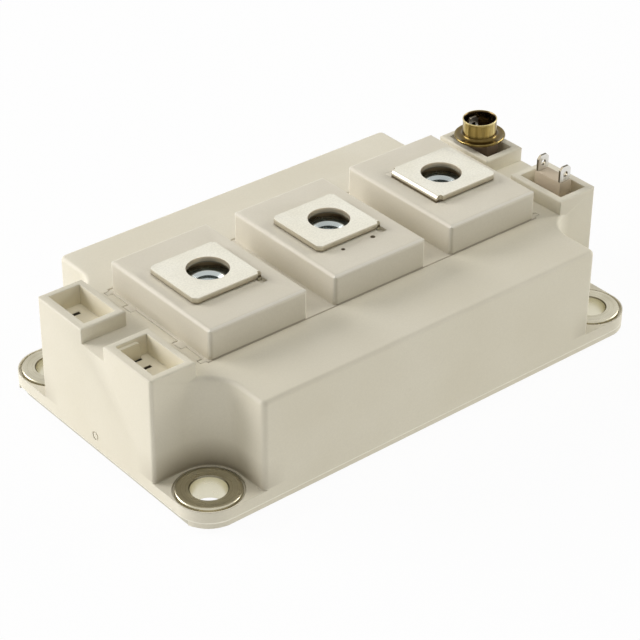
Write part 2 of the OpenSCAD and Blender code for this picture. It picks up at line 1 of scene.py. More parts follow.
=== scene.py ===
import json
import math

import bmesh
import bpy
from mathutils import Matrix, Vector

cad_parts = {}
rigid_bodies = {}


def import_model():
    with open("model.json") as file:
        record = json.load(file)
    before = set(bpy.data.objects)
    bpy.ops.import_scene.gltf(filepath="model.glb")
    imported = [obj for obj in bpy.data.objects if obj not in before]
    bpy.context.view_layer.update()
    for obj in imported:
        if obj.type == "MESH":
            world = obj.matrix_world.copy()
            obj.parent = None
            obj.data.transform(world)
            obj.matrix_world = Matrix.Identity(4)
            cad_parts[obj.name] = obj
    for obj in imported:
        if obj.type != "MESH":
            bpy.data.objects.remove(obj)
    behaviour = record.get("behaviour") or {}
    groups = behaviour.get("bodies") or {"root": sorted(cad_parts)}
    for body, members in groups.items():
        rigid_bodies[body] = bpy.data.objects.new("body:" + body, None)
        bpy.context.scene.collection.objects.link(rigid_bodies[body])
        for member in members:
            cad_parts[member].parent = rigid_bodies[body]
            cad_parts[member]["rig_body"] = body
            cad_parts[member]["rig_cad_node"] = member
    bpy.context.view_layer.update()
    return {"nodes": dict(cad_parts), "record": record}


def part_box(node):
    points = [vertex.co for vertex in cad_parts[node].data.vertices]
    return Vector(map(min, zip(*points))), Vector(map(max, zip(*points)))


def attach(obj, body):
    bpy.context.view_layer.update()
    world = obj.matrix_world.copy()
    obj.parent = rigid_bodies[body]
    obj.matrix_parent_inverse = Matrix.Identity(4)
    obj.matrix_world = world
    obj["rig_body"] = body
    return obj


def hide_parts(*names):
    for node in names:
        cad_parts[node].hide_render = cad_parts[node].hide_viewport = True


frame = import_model()

# %% [markdown]
# # A power module with screw terminals
# The real object is a low block of glass-filled plastic on a metal plate. It has three
# tinned screw terminals in a row on top, plug sockets at both ends, four steel bushings
# for the mounting screws, and a brass sleeve that keeps two signal tabs shorted until the
# module is fitted.
# The solids are already right, so this lesson dresses them: it rounds their edges as a
# mould or a punch leaves them, turns the small round parts anew with their threads and
# lips, and gives each piece its own finish. Everything is in metres.

MM = 0.001
nodes = frame["nodes"]

# %% [markdown]
# ## The camera
# The module is looked at from over its left front corner, from well back with a long
# lens, so that upright edges stay nearly upright. A camera looks along its own -Z. Its
# three directions are worked out from the compass angle, the dip and a slight lean, and
# become the columns of its matrix. That is exact, where aiming by a Track To constraint
# would leave the lean out.

# %% Camera
CAMERA_PLACE = Vector((-219.98, -260.92, 230.29)) * MM
CAMERA_TURN = math.radians(39.893)
CAMERA_DIP = math.radians(33.075)
CAMERA_LEAN = math.radians(0.617)
CAMERA_LENS = 120.25

ahead = Vector((
    math.sin(CAMERA_TURN) * math.cos(CAMERA_DIP),
    math.cos(CAMERA_TURN) * math.cos(CAMERA_DIP),
    -math.sin(CAMERA_DIP),
))
level = Vector((math.cos(CAMERA_TURN), -math.sin(CAMERA_TURN), 0))
right = level * math.cos(CAMERA_LEAN) + level.cross(ahead) * math.sin(CAMERA_LEAN)
up = right.cross(ahead)

camera_data = bpy.data.cameras.new("camera")
camera_data.lens = CAMERA_LENS
camera_data.clip_start = 0.01
camera_data.clip_end = 20
camera = bpy.data.objects.new("camera", camera_data)
bpy.context.scene.collection.objects.link(camera)
camera.matrix_world = (
    Matrix.Translation(CAMERA_PLACE) @ Matrix((right, up, -ahead)).transposed().to_4x4()
)
bpy.context.scene.camera = camera
print(f"camera {CAMERA_PLACE.length:.2f} m from the middle of the module")

# %% [markdown]
# ## Background, floor and lamps
# Such a small part is usually shown on white, in a light tent: light from all round, and
# one large lamp that is nearer on one side and draws the shapes. Here the world is the
# tent. The white that the camera, the metals and the gel see is separate from the light
# that the world gives, through Light Path, so a white background costs no clipped
# plastic.

# %% World
WORLD_LIGHT = 0.16
WORLD_TINT = (1.0, 0.985, 0.955, 1)

scene = bpy.context.scene
scene.view_settings.view_transform = "Standard"
world = bpy.data.worlds.new("light_tent")
scene.world = world
world.use_nodes = True


def show_another(tree, output, lighting, seen):
    """Lights with one shader, and shows another to the camera, glosses and the gel."""
    path = tree.nodes.new("ShaderNodeLightPath")
    total = path.outputs["Is Camera Ray"]
    for name in ("Is Glossy Ray", "Is Transmission Ray"):
        larger = tree.nodes.new("ShaderNodeMath")
        larger.operation = "MAXIMUM"
        tree.links.new(total, larger.inputs[0])
        tree.links.new(path.outputs[name], larger.inputs[1])
        total = larger.outputs[0]
    either = tree.nodes.new("ShaderNodeMixShader")
    tree.links.new(total, either.inputs[0])
    tree.links.new(lighting.outputs[0], either.inputs[1])
    tree.links.new(seen.outputs[0], either.inputs[2])
    tree.links.new(either.outputs[0], output.inputs["Surface"])


tree = world.node_tree
tree.nodes.clear()
output = tree.nodes.new("ShaderNodeOutputWorld")
lit = tree.nodes.new("ShaderNodeBackground")
lit.inputs["Color"].default_value = WORLD_TINT
lit.inputs["Strength"].default_value = WORLD_LIGHT
seen = tree.nodes.new("ShaderNodeBackground")
seen.inputs["Color"].default_value = (1, 1, 1, 1)
seen.inputs["Strength"].default_value = 1
show_another(tree, output, lit, seen)
print(f"the tent lights at {WORLD_LIGHT} and shows as 1")

# %% [markdown]
# ### The floor
# The module stands on a table that glows faintly from below, and so fills the shadows of
# its upright sides. It could be a lamp under glass, but one plane does both: a matt
# surface plus a weak glow gives the light, and the camera sees it nearly white, with a
# small share of the matt surface left in, which holds the shadow. The plane lies a hair
# under the module, or the two would flicker.

# %% Floor
FLOOR_SIZE = 6.0
FLOOR_DROP = 0.02
TABLE_GREY = (0.86, 0.86, 0.86, 1)
TABLE_LIGHT = 0.46
TABLE_TINT = (1, 0.99, 0.94, 1)
FLOOR_WHITE = 0.95

bpy.ops.mesh.primitive_plane_add(size=FLOOR_SIZE, location=(0, 0, -FLOOR_DROP * MM))
floor = bpy.context.object
floor.name = "floor"
bpy.ops.object.transform_apply(location=True)
table = bpy.data.materials.new("light_table")
table.use_nodes = True
tree = table.node_tree
tree.nodes.clear()
output = tree.nodes.new("ShaderNodeOutputMaterial")
matt = tree.nodes.new("ShaderNodeBsdfDiffuse")
matt.inputs["Color"].default_value = TABLE_GREY
from_below = tree.nodes.new("ShaderNodeEmission")
from_below.inputs["Color"].default_value = TABLE_TINT
from_below.inputs["Strength"].default_value = TABLE_LIGHT
table_top = tree.nodes.new("ShaderNodeAddShader")
tree.links.new(matt.outputs[0], table_top.inputs[0])
tree.links.new(from_below.outputs[0], table_top.inputs[1])
white = tree.nodes.new("ShaderNodeEmission")
white.inputs["Strength"].default_value = 1
shaded_white = tree.nodes.new("ShaderNodeMixShader")
shaded_white.inputs[0].default_value = FLOOR_WHITE
tree.links.new(matt.outputs[0], shaded_white.inputs[1])
tree.links.new(white.outputs[0], shaded_white.inputs[2])
show_another(tree, output, table_top, shaded_white)
floor.data.materials.append(table)
print(f"a floor {FLOOR_SIZE} m wide, white to {FLOOR_WHITE:.0%}")

# %% [markdown]
# ### The lamps
# Three soft square lamps. The key lamp stands behind the left end and models the end
# face, a weaker one evens out the far right, and a third hangs over the middle for the
# tops. The metals don't mirror the hanging one, or every flat piece of tin would turn
# into a white patch when it is seen from above.

# %% Lamps
def add_lamp(name, compass, height, distance, size, watts, colour):
    """A square soft lamp that faces the module. Compass 0 is -X, and 90 is -Y."""
    data = bpy.data.lights.new(name, "AREA")
    data.shape = "SQUARE"
    data.size = size
    data.energy = watts
    data.color = colour
    lamp = bpy.data.objects.new(name, data)
    scene.collection.objects.link(lamp)
    compass, height = math.radians(compass), math.radians(height)
    away = Vector((-math.cos(compass) * math.cos(height),
                   -math.sin(compass) * math.cos(height), math.sin(height)))
    lamp.location = away * distance
    lamp.rotation_euler = away.to_track_quat("Z", "Y").to_euler()
    print(f"{name}: {watts} W, {distance} m away")
    return lamp


add_lamp("key_lamp", -50, 23, 1.2, 0.75, 13.0, (1, 0.99, 1))
add_lamp("right_lamp", 160, 22, 1.2, 0.6, 6.6, (1, 0.99, 0.94))
top_lamp = add_lamp("top_lamp", 0, 90, 1.2, 0.6, 4.0, (1, 1, 1))
top_lamp.visible_glossy = False

# %% [markdown]
# ## Finishes
# Each finish is a small network on the Principled shader. A moulded or plated surface is
# never one flat colour: it has slow clouds from the melt or the bath, a fine grain from
# the mould or the rolls, and a gloss that changes with both. Image textures would need a
# map for each piece; noise read at the object's own coordinates needs none, and keeps its
# scale in metres.

# %% Start a finish
finish = {}


def new_finish(name, metallic, specular=0.5):
    """Files a material, and opens its network, shader and object coordinates."""
    material = bpy.data.materials.new(name)
    material.use_nodes = True
    finish[name] = material
    tree = material.node_tree
    shader = tree.nodes["Principled BSDF"]
    shader.inputs["Metallic"].default_value = metallic
    shader.inputs["Specular IOR Level"].default_value = specular
    place = tree.nodes.new("ShaderNodeTexCoord")
    return tree, shader, place.outputs["Object"]


print("each finish is filed under its slot's name")

# %% Noise, ranges and blends
SWING = (0.3, 0.7)


def noise(tree, place, size, detail=3, stretch=(1, 1, 1)):
    """Noise with patches of about this size in metres. It mostly stays within SWING."""
    mapping = tree.nodes.new("ShaderNodeMapping")
    mapping.inputs["Scale"].default_value = [1 / (size * s) for s in stretch]
    pattern = tree.nodes.new("ShaderNodeTexNoise")
    pattern.inputs["Scale"].default_value = 1
    pattern.inputs["Detail"].default_value = detail
    tree.links.new(place, mapping.inputs["Vector"])
    tree.links.new(mapping.outputs[0], pattern.inputs["Vector"])
    return pattern.outputs["Fac"]


def spread(tree, value, low, high, wanted_low, wanted_high):
    """Moves a value from one range to another, and holds it there."""
    remap = tree.nodes.new("ShaderNodeMapRange")
    remap.inputs["From Min"].default_value = low
    remap.inputs["From Max"].default_value = high
    remap.inputs["To Min"].default_value = wanted_low
    remap.inputs["To Max"].default_value = wanted_high
    tree.links.new(value, remap.inputs["Value"])
    return remap.outputs[0]


def blend_colours(tree, amount, first, second):
    """A colour between two, by a value from 0 to 1. Each is a colour or a socket."""
    mix = tree.nodes.new("ShaderNodeMix")
    mix.data_type = "RGBA"
    tree.links.new(amount, mix.inputs["Factor"])
    for socket, colour in ((mix.inputs[6], first), (mix.inputs[7], second)):
        if isinstance(colour, bpy.types.NodeSocket):
            tree.links.new(colour, socket)
        else:
            socket.default_value = (*colour, 1)
    return mix.outputs[2]


print(f"noise swings from {SWING[0]} to {SWING[1]}")

# %% [markdown]
# ### Soft corners and bump
# A moulded corner is never quite sharp. The larger edges get real rounds further on, and
# the Bevel node turns the light over the small ones that are left. Bumps are stacked:
# each takes the one before it as its own normal, so the coarse one comes first.

# %% Normals
def soft_corners(tree, radius):
    """A normal that turns smoothly over edges and inner corners within this radius."""
    bevel = tree.nodes.new("ShaderNodeBevel")
    bevel.samples = 6
    bevel.inputs["Radius"].default_value = radius
    return bevel.outputs[0]


def add_bump(tree, shader, height, depth, strength, under=None):
    """Dents the surface by a height from 0 to 1 over this depth in metres."""
    bump = tree.nodes.new("ShaderNodeBump")
    bump.inputs["Distance"].default_value = depth
    bump.inputs["Strength"].default_value = strength
    tree.links.new(height, bump.inputs["Height"])
    if under is not None:
        tree.links.new(under, bump.inputs["Normal"])
    tree.links.new(bump.outputs[0], shader.inputs["Normal"])
    return bump.outputs[0]


print("a bump of 0.01 mm shows as grain, and one of 0.1 mm as a step")

# %% [markdown]
# ### Marks and painted light that stay in their place
# Dust, a joint, a painted shade or a painted highlight sits at one spot of the part. Object
# coordinates are true measures here, so a mark is plain arithmetic on them: how high, how
# far from an axis, between which two planes. It needs no painted map, and holds in every
# view.

# %% Numbers from coordinates
def part_of(tree, output_name, axis):
    """One of the three numbers of the object coordinates or of the normal."""
    source = tree.nodes.new("ShaderNodeTexCoord")
    split = tree.nodes.new("ShaderNodeSeparateXYZ")
    tree.links.new(source.outputs[output_name], split.inputs[0])
    return split.outputs[axis]


def combine(tree, how, first, second=None):
    """One or two values through a Math node; the second may be a plain number."""
    node = tree.nodes.new("ShaderNodeMath")
    node.operation = how
    tree.links.new(first, node.inputs[0])
    if isinstance(second, bpy.types.NodeSocket):
        tree.links.new(second, node.inputs[1])
    elif second is not None:
        node.inputs[1].default_value = second
    return node.outputs[0]


def both(tree, first, second):
    """1 only where both values are 1."""
    return combine(tree, "MULTIPLY", first, second)


print("places and directions are plain numbers now")

# %% Distances and bands
def axis_distance(tree, place, axis, mirrored=False):
    """Distance in metres from an upright axis, or from its mirror images too."""
    if mirrored:
        unsigned = tree.nodes.new("ShaderNodeVectorMath")
        unsigned.operation = "ABSOLUTE"
        tree.links.new(place, unsigned.inputs[0])
        place = unsigned.outputs[0]
    flat = tree.nodes.new("ShaderNodeMapping")
    flat.inputs["Location"].default_value = (-axis[0], -axis[1], 0)
    flat.inputs["Scale"].default_value = (1, 1, 0)
    tree.links.new(place, flat.inputs["Vector"])
    radius = tree.nodes.new("ShaderNodeVectorMath")
    radius.operation = "LENGTH"
    tree.links.new(flat.outputs[0], radius.inputs[0])
    return radius.outputs["Value"]


def between(tree, value, low, high, soft=0.1 * MM):
    """1 where a value lies between two limits, and 0 outside them."""
    return both(tree, spread(tree, value, low, low + soft, 0, 1),
                spread(tree, value, high - soft, high, 1, 0))


bushing_low, bushing_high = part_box("mounting_bushing_4")
BUSHING_AXIS = (bushing_low + bushing_high) / 2
print(f"bushings on ({BUSHING_AXIS.x / MM:.1f}, {BUSHING_AXIS.y / MM:.1f}) and mirrored")

# %% [markdown]
# ### Moulded plastic
# The shell and the lid are glass-filled polyester in a warm off-white. The melt leaves
# slow clouds a little darker and browner, and the short glass fibres give the skin a fine
# matt grain. One network serves the shell, the lid and the browner tab posts.

# %% Plastic finishes
CLOUD_SIZE = 22 * MM
GRAIN_SIZE = 0.35 * MM
FIBRE_SIZE = 1.2 * MM
SOFT_CORNER = 0.18 * MM
STEP_WIDTH = 0.12 * MM


def moulded_plastic(name, light, dark, gloss, marks_and_painted_light, parting=None):
    """Plastic with clouds, fibres and a fine grain, and a step at its parting height."""
    tree, shader, place = new_finish(name, 0.0, 0.4)
    clouds = spread(tree, noise(tree, place, CLOUD_SIZE, 2), *SWING, 0, 1)
    grain = noise(tree, place, GRAIN_SIZE, 3)
    fibres = noise(tree, place, FIBRE_SIZE, 2, (2.5, 1, 1))
    colour = blend_colours(tree, clouds, light, dark)
    fine = spread(tree, grain, *SWING, 0, 0.22)
    colour = blend_colours(tree, fine, colour, [0.86 * part for part in dark])
    # the marks include painted light and shade
    tree.links.new(marks_and_painted_light(tree, colour), shader.inputs["Base Color"])
    tree.links.new(spread(tree, fibres, *SWING, gloss - 0.05, gloss + 0.07),
                   shader.inputs["Roughness"])
    below = add_bump(tree, shader, fibres, 0.03 * MM, 0.35, soft_corners(tree, SOFT_CORNER))
    if parting is not None:
        step = spread(tree, part_of(tree, "Object", "Z"), parting - STEP_WIDTH,
                      parting + STEP_WIDTH, 0, 1)
        below = add_bump(tree, shader, step, 0.08 * MM, 1.0, below)
    add_bump(tree, shader, grain, 0.012 * MM, 0.5, below)


print(f"clouds of {CLOUD_SIZE / MM:.0f} mm, fibres of {FIBRE_SIZE / MM} mm")

# %% [markdown]
# ### Painted light on the housing
# The mould closes low down on the sides, and a painted highlight draws a pale line along
# the step there. Painted shade darkens the recess walls just above the ears, darkest near
# the bushings. Inside the plug sockets a warmer colour is painted bounce light, and
# painted shade darkens what lies below their floors, where one looks through the slots.

# %% Parting line
PARTING_HEIGHT = 2.1 * MM


def painted_parting_highlight(tree, colour):
    """Painted highlight: a pale line along the step where the halves of the mould meet."""
    off_line = combine(tree, "ABSOLUTE", combine(
        tree, "SUBTRACT", part_of(tree, "Object", "Z"), PARTING_HEIGHT))
    # painted highlight: a pale line along the parting step
    line = spread(tree, off_line, 0.06 * MM, 0.16 * MM, 0.75, 0)
    return blend_colours(tree, line, colour, (0.93, 0.90, 0.78))


print(f"the parting line lies {PARTING_HEIGHT / MM} mm up")

# %% Painted shade in the recesses
SHADE_REACH = (7.5 * MM, 13.5 * MM)
SHADE_HEIGHT = (4.5 * MM, 10.5 * MM)
EAR_TOP = (4.45 * MM, 4.8 * MM)


def painted_recess_shade(tree, colour):
    """Painted shade on the walls of the recesses, above the ears and round the bushings."""
    source = tree.nodes.new("ShaderNodeTexCoord")
    away = axis_distance(tree, source.outputs["Object"], BUSHING_AXIS, True)
    height = part_of(tree, "Object", "Z")
    painted_shade = both(tree, spread(tree, away, *SHADE_REACH, 1, 0),
                  spread(tree, height, *SHADE_HEIGHT, 0.55, 0))
    painted_shade = both(tree, painted_shade, spread(tree, height, *EAR_TOP, 0, 1))
    # painted shade on the recess walls
    return blend_colours(tree, painted_shade, colour, (0.20, 0.15, 0.08))


print(f"grease reaches {SHADE_REACH[1] / MM} mm from the bushings' axes")

# %% Sockets, and the housing's plastic
SOCKET_ALONG_X = (44.4 * MM, 52.4 * MM)
SOCKET_ALONG_Y = (4.0 * MM, 16.6 * MM)
SOCKET_FLOOR = 22 * MM
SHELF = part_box("housing")[1].z


def socket_painted_light(tree, colour):
    """Painted warm bounce light inside the plug sockets, and painted shade below their
    floors.
    """
    across = combine(tree, "ABSOLUTE", part_of(tree, "Object", "X"))
    along = combine(tree, "ABSOLUTE", part_of(tree, "Object", "Y"))
    within = both(tree, between(tree, across, *SOCKET_ALONG_X),
                  between(tree, along, *SOCKET_ALONG_Y))
    height = part_of(tree, "Object", "Z")
    inside = both(tree, within,
                  between(tree, height, SOCKET_FLOOR - 2 * MM, SHELF - 0.05 * MM))
    # painted bounce light: a warmer colour inside the sockets
    colour = blend_colours(tree, inside, colour, (0.79, 0.735, 0.58))
    # painted shade on all that lies below the socket floors, in the slots
    slot = both(tree, within, spread(
        tree, height, SOCKET_FLOOR - 0.2 * MM, SOCKET_FLOOR - 0.05 * MM, 0.9, 0))
    return blend_colours(tree, slot, colour, (0.06, 0.045, 0.03))


def housing_painted_light(tree, colour):
    """The painted light and shade on the housing: sockets, parting line and recesses."""
    return socket_painted_light(tree, painted_parting_highlight(tree, painted_recess_shade(tree, colour)))


moulded_plastic("housing_plastic", (0.752, 0.710, 0.588), (0.706, 0.660, 0.531), 0.50,
                housing_painted_light, PARTING_HEIGHT)
print(f"the top of the housing lies {SHELF / MM:.1f} mm up")

# %% [markdown]
# ### Marks and painted light on the lid
# The lid carries three terminal blocks in a row. A painted highlight makes their long
# edges a little paler. Painted shade browns the pockets under the terminals, dust sits in
# the joint round the lid, and the gates of the mould left two dimples in front of the
# middle terminal, with painted shade round them. One pattern has to serve three blocks, so
# the X coordinate is wrapped at the pitch of the terminals, which makes each block the
# first one.

# %% Wrap at the terminals' pitch
TERMINAL_PITCH = 28 * MM


def from_terminal(tree):
    """Object coordinates from the nearest terminal's middle, with the height left out."""
    wrapped = combine(tree, "WRAP", part_of(tree, "Object", "X"), TERMINAL_PITCH / 2)
    wrapped.node.inputs[2].default_value = -TERMINAL_PITCH / 2
    flat = tree.nodes.new("ShaderNodeCombineXYZ")
    tree.links.new(wrapped, flat.inputs["X"])
    tree.links.new(part_of(tree, "Object", "Y"), flat.inputs["Y"])
    return flat.outputs[0]


print(f"the three blocks stand {TERMINAL_PITCH / MM:.0f} mm apart")

# %% Block edges and pockets
BLOCK_END = 10.9 * MM
BLOCK_SIDE = 14.9 * MM
BLOCK_EDGE = (28.65 * MM, 28.85 * MM)
BLOCK_FOOT = (23.5 * MM, 23.8 * MM)
POCKET_RADIUS = (6.0 * MM, 6.4 * MM)
POCKET_TOP = (28.8 * MM, 29.0 * MM)


def painted_edge_highlights(tree, colour):
    """Painted highlight: paler edges where a long side of a block meets its top or its end.
    """
    split = tree.nodes.new("ShaderNodeSeparateXYZ")
    tree.links.new(from_terminal(tree), split.inputs[0])
    height = part_of(tree, "Object", "Z")
    near_end = spread(tree, combine(tree, "ABSOLUTE", split.outputs["X"]),
                      BLOCK_END - 0.45 * MM, BLOCK_END - 0.25 * MM, 0, 1)
    near_side = spread(tree, combine(tree, "ABSOLUTE", split.outputs["Y"]),
                       BLOCK_SIDE - 0.7 * MM, BLOCK_SIDE - 0.5 * MM, 0, 1)
    near_top = spread(tree, height, *BLOCK_EDGE, 0, 1)
    edges = both(tree, near_side, combine(tree, "MAXIMUM", near_end, near_top))
    # painted highlight on the blocks' long edges
    edge_highlight = both(tree, spread(tree, edges, 0.3, 1, 0, 0.6),
                     spread(tree, height, *BLOCK_FOOT, 0, 1))
    return blend_colours(tree, edge_highlight, colour, (0.88, 0.85, 0.76))


def painted_pocket_shade(tree, colour):
    """Painted shade: brown walls round the nuts, under the top of each block."""
    pocket = spread(tree, axis_distance(tree, from_terminal(tree), (0, 0)),
                    *POCKET_RADIUS, 1, 0)
    under_top = spread(tree, part_of(tree, "Object", "Z"), *POCKET_TOP, 1, 0)
    # painted shade in the pockets round the nuts
    return blend_colours(tree, both(tree, pocket, under_top), colour, (0.27, 0.20, 0.11))


print(f"edges from {BLOCK_EDGE[0] / MM:.2f} mm up, pockets below {POCKET_TOP[1] / MM} mm")

# %% Joint, dimples and the lid's plastic
LID_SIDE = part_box("lid")[1].y
JOINT_HEIGHT = (23.12 * MM, 23.30 * MM)
DIMPLES = ((3.5 * MM, 0.56 * MM), (-3.6 * MM, 0.47 * MM))
DIMPLE_ROW = -8.4 * MM


def dusty_joint(tree, colour):
    """Dust along the long sides, where the lid sits in the housing."""
    side = combine(tree, "ABSOLUTE", part_of(tree, "Object", "Y"))
    rim = spread(tree, side, LID_SIDE - 0.32 * MM, LID_SIDE - 0.18 * MM, 0, 0.6)
    foot = spread(tree, part_of(tree, "Object", "Z"), *JOINT_HEIGHT, 1, 0)
    return blend_colours(tree, both(tree, rim, foot), colour, (0.22, 0.17, 0.10))


def lid_marks_and_painted_light(tree, colour):
    """Painted light and shade on the lid, and the dust in its joint."""
    colour = dusty_joint(tree, painted_pocket_shade(tree, painted_edge_highlights(tree, colour)))
    source = tree.nodes.new("ShaderNodeTexCoord")
    for x, radius in DIMPLES:
        away = axis_distance(tree, source.outputs["Object"], (x, DIMPLE_ROW))
        # painted shade in a ring round each dimple
        dimple_painted_shade = spread(tree, away, radius - 0.12 * MM, radius, 0.8, 0)
        colour = blend_colours(tree, dimple_painted_shade, colour, (0.20, 0.15, 0.08))
    return colour


moulded_plastic("lid_plastic", (0.726, 0.682, 0.572), (0.684, 0.637, 0.520), 0.50,
                lid_marks_and_painted_light)
print(f"the lid has {len(DIMPLES)} dimples, and its sides lie at Y {LID_SIDE / MM:.1f} mm")

# %% [markdown]
# ### The tab posts
# The posts that carry the signal tabs are of a browner plastic. The far one stands under
# the brass sleeve, and painted shade makes it nearly black.

# %% Marks on the tab posts
def far_post_shade(tree, colour):
    """Painted shade: the post under the brass sleeve is darkened nearly to black."""
    # painted shade under the brass sleeve
    far = spread(tree, part_of(tree, "Object", "Y"), -1 * MM, 1 * MM, 0, 0.85)
    return blend_colours(tree, far, colour, (0.11, 0.07, 0.04))


moulded_plastic("holder_plastic", (0.530, 0.445, 0.330), (0.450, 0.370, 0.262), 0.45,
                far_post_shade)
print("plastic:", ", ".join(finish))

# %% [markdown]
# ### Rolled and plated metals
# The terminals are copper strip with a satin tin plate, so the marks of rolling show
# through as faint streaks. A metal gets its look from what it mirrors, and the streaks
# only blur that mirror unevenly. Long thin noise does it: one noise stretched many times
# the way the sheet was rolled.

# %% Plated finishes
METAL_CLOUD = 7 * MM
SPECK_SIZE = 0.35 * MM


def plated_metal(name, light, dark, gloss, spread_of_gloss, stretch,
                 streak=0.25 * MM, marks_and_painted_light=None, grain=0.0, relief=0.006 * MM):
    """Metal with clouds, specks and long streaks, and a gloss that follows them."""
    tree, shader, place = new_finish(name, 1.0)
    clouds = spread(tree, noise(tree, place, METAL_CLOUD, 3), *SWING, 0, 1)
    streaks = noise(tree, place, streak, 3, stretch)
    colour = blend_colours(tree, clouds, light, dark)
    if grain:
        specks = spread(tree, noise(tree, place, SPECK_SIZE, 2), 0.38, 0.62, 0, grain)
        colour = blend_colours(tree, specks, colour, [0.72 * part for part in dark])
    # the marks include painted light and shade
    if marks_and_painted_light is not None:
        colour = marks_and_painted_light(tree, colour)
    tree.links.new(colour, shader.inputs["Base Color"])
    amount = combine(tree, "ADD", combine(tree, "MULTIPLY", clouds, 0.4),
                     spread(tree, streaks, *SWING, 0, 0.6))
    tree.links.new(spread(tree, amount, 0, 1, gloss - spread_of_gloss,
                          gloss + spread_of_gloss), shader.inputs["Roughness"])
    add_bump(tree, shader, streaks, relief, 0.4)


print(f"clouds of {METAL_CLOUD / MM:.0f} mm under the streaks")

# %% [markdown]
# ### Cut edges and bends
# A strip is plated before it is punched and bent, so the tabs' cut edges are duller than
# their faces. On the terminals, painted shade darkens the outer cut edges and the bend, a
# painted light brightens the walls of the hole, and a painted shadow lies where the edge
# meets the block. The normal tells a face from an edge, and the height keeps the marks on
# the plate.

# %% Cut edges and bends
PLATE_FOOT = (28.95 * MM, 29.15 * MM)
FOOT_SHADOW_TOP = (29.42 * MM, 29.66 * MM)
HOLE_WALL = (4.1 * MM, 4.5 * MM)


def strip_painted_light(tree, colour):
    """Painted shade on the terminals' cut edges and bend, painted light on their hole walls,
    and a painted shadow at their foot.
    """
    height = part_of(tree, "Object", "Z")
    facing = combine(tree, "ABSOLUTE", part_of(tree, "Normal", "Z"))
    in_plate = spread(tree, height, *PLATE_FOOT, 0, 1)
    # painted shade on the bend, to tone down its highlight
    bend_painted_shade = both(tree, between(tree, facing, 0.2, 0.98, 0.08), in_plate)
    colour = blend_colours(tree, bend_painted_shade, colour, (0.60, 0.57, 0.48))
    edge = both(tree, spread(tree, facing, 0.1, 0.6, 1, 0), in_plate)
    outside = spread(tree, axis_distance(tree, from_terminal(tree), (0, 0)),
                     *HOLE_WALL, 0, 1)
    # painted light on the hole walls, painted shade on the outer cut edges
    edge_painted_light = blend_colours(tree, outside, (0.80, 0.70, 0.54), (0.52, 0.48, 0.38))
    colour = blend_colours(tree, edge, colour, edge_painted_light)
    # painted shadow where the plate's edge meets the block
    foot_shadow = both(tree, spread(tree, height, *FOOT_SHADOW_TOP, 1, 0), edge)
    return blend_colours(tree, foot_shadow, colour, (0.16, 0.13, 0.085))


def dark_cut_edges(tree, colour):
    """The tabs' broad faces are tinned, and their cut edges are dull."""
    facing = combine(tree, "ABSOLUTE", part_of(tree, "Normal", "Y"))
    edge = spread(tree, facing, 0.75, 0.98, 1, 0)
    return blend_colours(tree, edge, colour, (0.17, 0.15, 0.11))


# the plates' painted edge shade starts above this height
print(f"plates have dull edges above {PLATE_FOOT[1] / MM} mm")

# %% [markdown]
# ### The six flat metals
# Each takes a light and a dark colour, its gloss, and the way its streaks run: along Y on
# the terminals and tracks, upright on the tabs, and along X under the base plate.

# %% Flat metals
plated_metal("terminal_tin", (0.845, 0.82, 0.715), (0.775, 0.745, 0.63), 0.42, 0.06,
             (1, 12, 1), marks_and_painted_light=strip_painted_light, grain=0.27, relief=0.01 * MM)
plated_metal("tab_tin", (0.80, 0.79, 0.75), (0.68, 0.66, 0.61), 0.30, 0.06,
             (1, 1, 20), marks_and_painted_light=dark_cut_edges)
plated_metal("nut_steel", (0.49, 0.53, 0.52), (0.35, 0.38, 0.375), 0.25, 0.07, (1, 1, 1))
plated_metal("plated_base", (0.66, 0.63, 0.53), (0.56, 0.53, 0.43), 0.36, 0.08,
             (25, 1, 1))
plated_metal("bare_copper", (0.86, 0.46, 0.30), (0.72, 0.36, 0.23), 0.36, 0.08,
             (1, 12, 1))
plated_metal("wire_aluminium", (0.84, 0.84, 0.85), (0.74, 0.74, 0.75), 0.30, 0.05,
             (1, 1, 1), 0.1 * MM)
print("metals so far:", ", ".join(list(finish)[3:]))

# %% [markdown]
# ### Turned and drawn metals
# Bushings are turned on a lathe, and the tool leaves rings round the axis. The brass
# sleeve is drawn and polished, so it has hardly any. Both read the distance from their
# own axis: the coordinates are moved there, the height is dropped, and the length of what
# is left is the radius. The four bushings are mirror images of each other, so one finish
# serves them all after the signs are taken off.

# %% Turned finishes
def turned_metal(name, light, dark, gloss, spread_of_gloss, pattern, depth):
    """A metal whose colour and gloss follow one pattern from 0 to 1."""
    tree, shader, place = new_finish(name, 1.0)
    amount, rings, marks_and_painted_light = pattern(tree, place)
    colour = blend_colours(tree, amount, light, dark)
    # the pattern's marks include painted light and shade
    tree.links.new(marks_and_painted_light(tree, colour), shader.inputs["Base Color"])
    tree.links.new(spread(tree, amount, 0, 1, gloss - spread_of_gloss,
                          gloss + spread_of_gloss), shader.inputs["Roughness"])
    add_bump(tree, shader, rings, depth, 0.5)


print("turned_metal takes its pattern as a function")

# %% Bushing finish
MOUTH_EDGE = (3.53 * MM, 3.58 * MM)
BORE_WALL = (3.33 * MM, 3.36 * MM)


